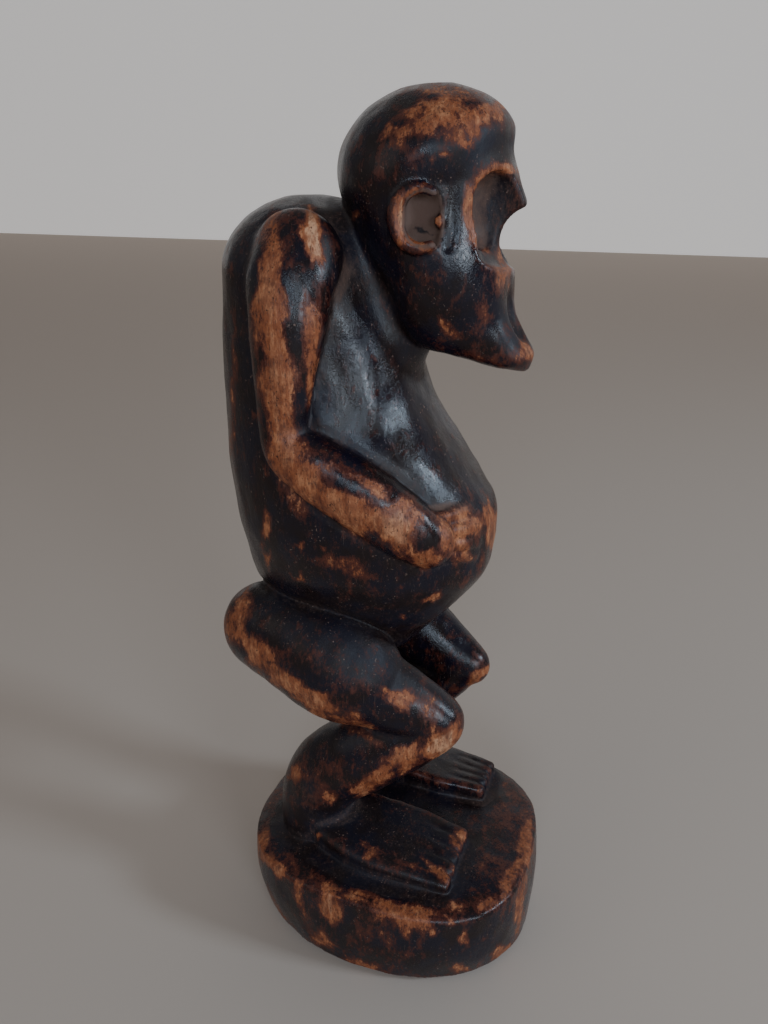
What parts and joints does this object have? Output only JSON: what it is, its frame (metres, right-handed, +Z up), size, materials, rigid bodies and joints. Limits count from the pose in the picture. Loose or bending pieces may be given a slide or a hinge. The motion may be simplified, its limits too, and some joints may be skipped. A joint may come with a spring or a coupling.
{
  "type": "carved wooden monkey figure",
  "caption": "Squatting wooden monkey with a bald tilted head, scooped eyes, pointed jaw, ring ears, hands on a pot belly and bent legs, carved in one block with its low oval base.",
  "frame": {"origin": "middle of the figure on the flat underside of the base", "axes": "+Z up from the underside to the crown, the figure faces -Y, +X is the figure's left"},
  "size_m": [0.094, 0.1195, 0.3],
  "materials": {
    "patinated_wood": "dark glossy patina, worn through to orange-brown wood on ridges and edges"
  },
  "bodies": {
    "root": {"carved_monkey": "patinated_wood"}
  },
  "joints": []
}
